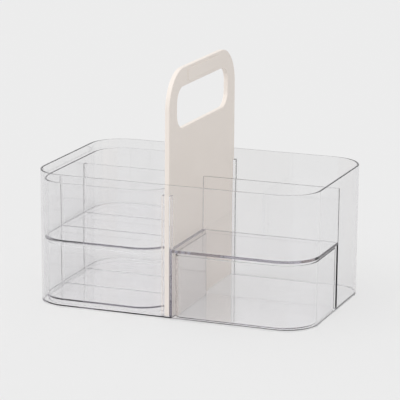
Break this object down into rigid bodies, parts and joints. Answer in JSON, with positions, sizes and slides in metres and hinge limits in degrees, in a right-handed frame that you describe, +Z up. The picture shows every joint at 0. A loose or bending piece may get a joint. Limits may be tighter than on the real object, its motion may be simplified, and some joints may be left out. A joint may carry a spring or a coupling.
{
  "type": "cleaning caddy",
  "caption": "Clear rounded carry caddy with an upright central handle plate, stacked lift-out divided trays, open compartments and a corner drawer.",
  "frame": {"origin": "bottom centre of the body, on the surface that the caddy stands on", "axes": "+X along the caddy from the trays to the drawer end, -Y to the front, where the drawer comes out, +Z up"},
  "size_m": [0.28, 0.1776, 0.234],
  "materials": {
    "clear_plastic": "clear, polished, water white",
    "cream_plastic": "satin, opaque, warm beige"
  },
  "bodies": {
    "caddy_body": {"outer_body": "clear_plastic", "handle_plate": "cream_plastic"},
    "lower_tray": {"lower_tray": "clear_plastic"},
    "upper_tray": {"upper_tray": "clear_plastic"},
    "lower_divider_front": {"lower_tray_divider_front": "clear_plastic"},
    "lower_divider_rear": {"lower_tray_divider_rear": "clear_plastic"},
    "upper_divider_front": {"upper_tray_divider_front": "clear_plastic"},
    "upper_divider_rear": {"upper_tray_divider_rear": "clear_plastic"},
    "drawer": {"drawer": "clear_plastic"}
  },
  "joints": [
    {"name": "lower_tray_lift", "type": "slide", "parent": "caddy_body", "child": "lower_tray", "axis": [0, 0, 1], "range_m": [0, 0.13]},
    {"name": "upper_tray_lift", "type": "slide", "parent": "lower_tray", "child": "upper_tray", "axis": [0, 0, 1], "range_m": [0, 0.072]},
    {"name": "upper_divider_front_lift", "type": "slide", "parent": "upper_tray", "child": "upper_divider_front", "axis": [0, 0, 1], "range_m": [0, 0.05]},
    {"name": "upper_divider_rear_lift", "type": "slide", "parent": "upper_tray", "child": "upper_divider_rear", "axis": [0, 0, 1], "range_m": [0, 0.05]},
    {"name": "lower_divider_front_lift", "type": "slide", "parent": "lower_tray", "child": "lower_divider_front", "axis": [0, 0, 1], "range_m": [0, 0.0025]},
    {"name": "lower_divider_rear_lift", "type": "slide", "parent": "lower_tray", "child": "lower_divider_rear", "axis": [0, 0, 1], "range_m": [0, 0.0025]},
    {"name": "drawer_slide", "type": "slide", "parent": "caddy_body", "child": "drawer", "axis": [0, -1, 0], "range_m": [0, 0.088]}
  ]
}
